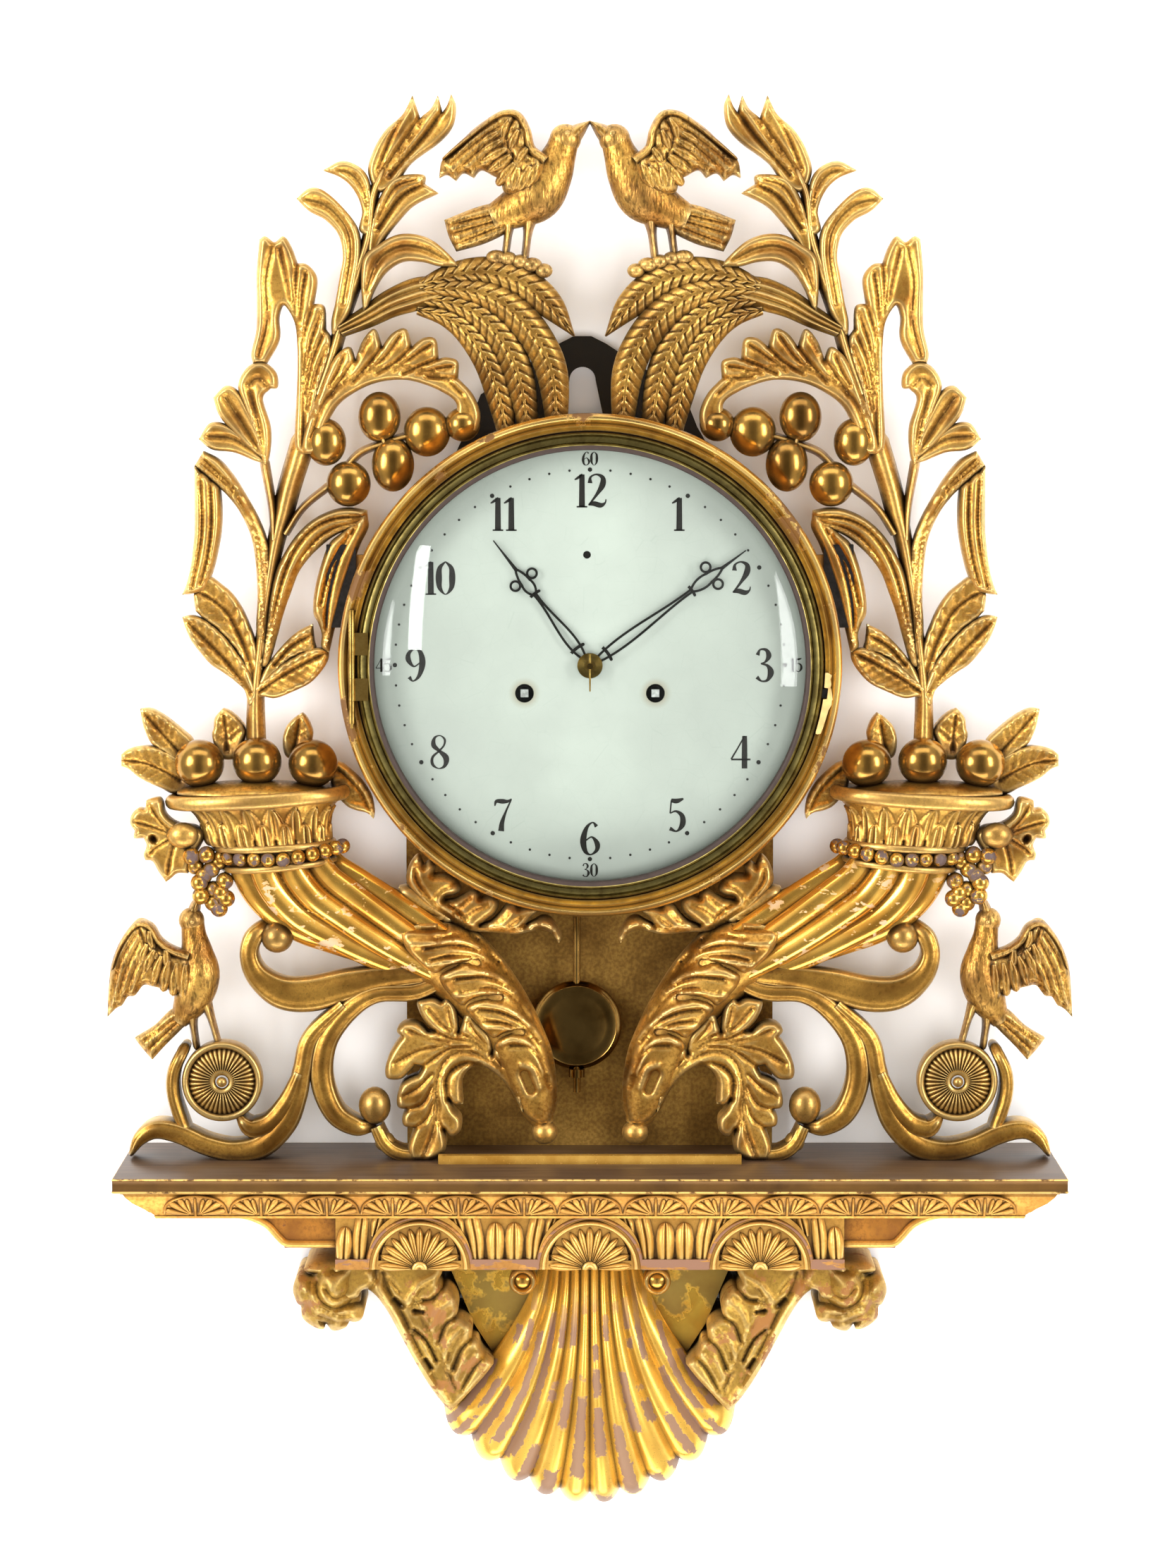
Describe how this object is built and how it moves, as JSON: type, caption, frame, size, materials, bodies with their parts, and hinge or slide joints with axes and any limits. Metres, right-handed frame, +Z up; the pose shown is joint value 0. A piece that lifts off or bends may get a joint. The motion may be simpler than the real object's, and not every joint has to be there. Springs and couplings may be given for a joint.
{
  "type": "cartel clock",
  "caption": "Carved and gilded wall clock: round glazed dial on a bracket shelf, framed by cornucopias, foliage, palms and birds, with a pendulum below and a shell drop.",
  "frame": {"origin": "where the dial axis meets the wall, on the rear face of the back board", "axes": "+Z up along the wall, -Y forward out of the wall, +X to the right as seen from the front"},
  "size_m": [0.6562, 0.145, 0.9567],
  "materials": {
    "gilt_carving": "water-gilded carved wood, rubbed and browned in the hollows",
    "gilt_burnished": "burnished gold leaf with worn patches of bole",
    "gilt_ring": "gilded turned wood with brown mottling",
    "board_wood": "dull gilding below, black paint at the hanging eye",
    "shelf_wood": "worn bronze-gold paint on wood",
    "dial_enamel": "pale blue-white dial with black numerals",
    "bezel_brass": "aged lacquered brass",
    "clear_glass": "clear domed glass",
    "dark_steel": "blackened steel",
    "movement_brass": "plain brass",
    "bell_metal": "bell metal",
    "bright_steel": "bright steel"
  },
  "bodies": {
    "case": {"left_cornucopia": "gilt_carving", "right_cornucopia": "gilt_carving", "left_foliage": "gilt_carving", "right_foliage": "gilt_carving", "left_palm": "gilt_carving", "right_palm": "gilt_carving", "left_lovebird": "gilt_carving", "right_lovebird": "gilt_carving", "left_scroll": "gilt_carving", "right_scroll": "gilt_carving", "left_grape_bird": "gilt_carving", "right_grape_bird": "gilt_carving", "spandrel_leaves": "gilt_carving", "frieze": "gilt_carving", "frieze_wings": "gilt_carving", "console_scrolls": "gilt_carving", "shelf_moulding": "gilt_carving", "trunk_sill": "gilt_carving", "basket_fruit": "gilt_burnished", "shell": "gilt_burnished", "console_back": "gilt_burnished", "front_ring": "gilt_ring", "drum": "gilt_ring", "back_board": "board_wood", "shelf_board": "shelf_wood", "dial_plate": "dial_enamel", "case_hinge_leaf": "bezel_brass", "front_plate": "movement_brass", "rear_plate": "movement_brass", "plate_pillars": "movement_brass", "suspension_cock": "movement_brass", "bell": "bell_metal", "winding_clicks": "bright_steel"},
    "door": {"door_bezel": "bezel_brass", "dome_glass": "clear_glass", "door_hinge_leaf": "bezel_brass", "door_catch": "dark_steel"},
    "minute": {"minute_hand": "dark_steel", "cannon_pinion": "movement_brass"},
    "hour": {"hour_hand": "dark_steel", "hour_wheel": "movement_brass"},
    "minute_gear": {"minute_wheel": "movement_brass"},
    "pendulum": {"pendulum_rod": "movement_brass", "pendulum_bob": "movement_brass", "rating_nut": "movement_brass"},
    "pallets": {"anchor": "bright_steel"},
    "escape": {"escape_wheel": "movement_brass"},
    "third": {"third_wheel": "movement_brass"},
    "centre": {"centre_wheel": "movement_brass", "hand_collet": "movement_brass"},
    "going_drive": {"going_barrel": "movement_brass"},
    "strike_drive": {"strike_barrel": "movement_brass"},
    "going_winder": {"going_arbor": "bright_steel"},
    "strike_winder": {"strike_arbor": "bright_steel"},
    "pins": {"pin_wheel": "movement_brass"},
    "hammer_lever": {"hammer": "bright_steel"},
    "regulator": {"regulator_arbor": "bright_steel"}
  },
  "joints": [
    {"name": "door_swing", "type": "hinge", "parent": "case", "child": "door", "pos_m": [-0.159, -0.112, 0], "axis": [0, 0, -1], "range_deg": [0, 110]},
    {"name": "minute_turn", "type": "hinge", "parent": "case", "child": "minute", "pos_m": [0, -0.06, 0], "axis": [0, 1, 0], "continuous": true},
    {"name": "hour_turn", "type": "hinge", "parent": "case", "child": "hour", "pos_m": [0, -0.06, 0], "axis": [0, 1, 0], "continuous": true},
    {"name": "minute_wheel_turn", "type": "hinge", "parent": "case", "child": "minute_gear", "pos_m": [0, -0.06, -0.018], "axis": [0, 1, 0], "continuous": true},
    {"name": "pendulum_swing", "type": "hinge", "parent": "case", "child": "pendulum", "pos_m": [-0.009, -0.06, 0.052], "axis": [0, 1, 0], "range_deg": [-4, 4]},
    {"name": "anchor_rock", "type": "hinge", "parent": "case", "child": "pallets", "pos_m": [-0.009, -0.06, 0.052], "axis": [0, 1, 0], "range_deg": [-4, 4]},
    {"name": "third_turn", "type": "hinge", "parent": "case", "child": "third", "pos_m": [0.0168, -0.06, 0.02575], "axis": [0, 1, 0], "continuous": true},
    {"name": "escape_turn", "type": "hinge", "parent": "case", "child": "escape", "pos_m": [-0.009, -0.06, 0.029], "axis": [0, 1, 0], "continuous": true},
    {"name": "centre_turn", "type": "hinge", "parent": "case", "child": "centre", "pos_m": [0, -0.06, 0], "axis": [0, 1, 0], "continuous": true},
    {"name": "going_barrel_turn", "type": "hinge", "parent": "case", "child": "going_drive", "pos_m": [-0.044, -0.06, -0.019], "axis": [0, 1, 0], "continuous": true},
    {"name": "strike_barrel_turn", "type": "hinge", "parent": "case", "child": "strike_drive", "pos_m": [0.044, -0.06, -0.019], "axis": [0, 1, 0], "continuous": true},
    {"name": "pin_wheel_turn", "type": "hinge", "parent": "case", "child": "pins", "pos_m": [0.06796, -0.06, 0.02251], "axis": [0, 1, 0], "continuous": true},
    {"name": "going_winding", "type": "hinge", "parent": "case", "child": "going_winder", "pos_m": [-0.044, -0.06, -0.019], "axis": [0, 1, 0], "continuous": true},
    {"name": "strike_winding", "type": "hinge", "parent": "case", "child": "strike_winder", "pos_m": [0.044, -0.06, -0.019], "axis": [0, 1, 0], "continuous": true},
    {"name": "hammer_strike", "type": "hinge", "parent": "case", "child": "hammer_lever", "pos_m": [0.084, -0.06, 0.03], "axis": [0, 1, 0], "range_deg": [0, 15], "stiffness_Nm_per_rad": 0.02, "springref_deg": -28.65},
    {"name": "regulator_turn", "type": "hinge", "parent": "case", "child": "regulator", "pos_m": [-0.002, -0.06, 0.074], "axis": [0, 1, 0], "continuous": true}
  ],
  "couplings": [
    {"joint": "hour_turn", "follows": "minute_turn", "ratio": 0.083333},
    {"joint": "minute_wheel_turn", "follows": "minute_turn", "ratio": -0.33333},
    {"joint": "anchor_rock", "follows": "pendulum_swing", "ratio": 1},
    {"joint": "escape_turn", "follows": "third_turn", "ratio": -9.4},
    {"joint": "centre_turn", "follows": "third_turn", "ratio": -0.10417},
    {"joint": "going_barrel_turn", "follows": "third_turn", "ratio": 0.014468},
    {"joint": "pin_wheel_turn", "follows": "strike_barrel_turn", "ratio": -7.2}
  ]
}
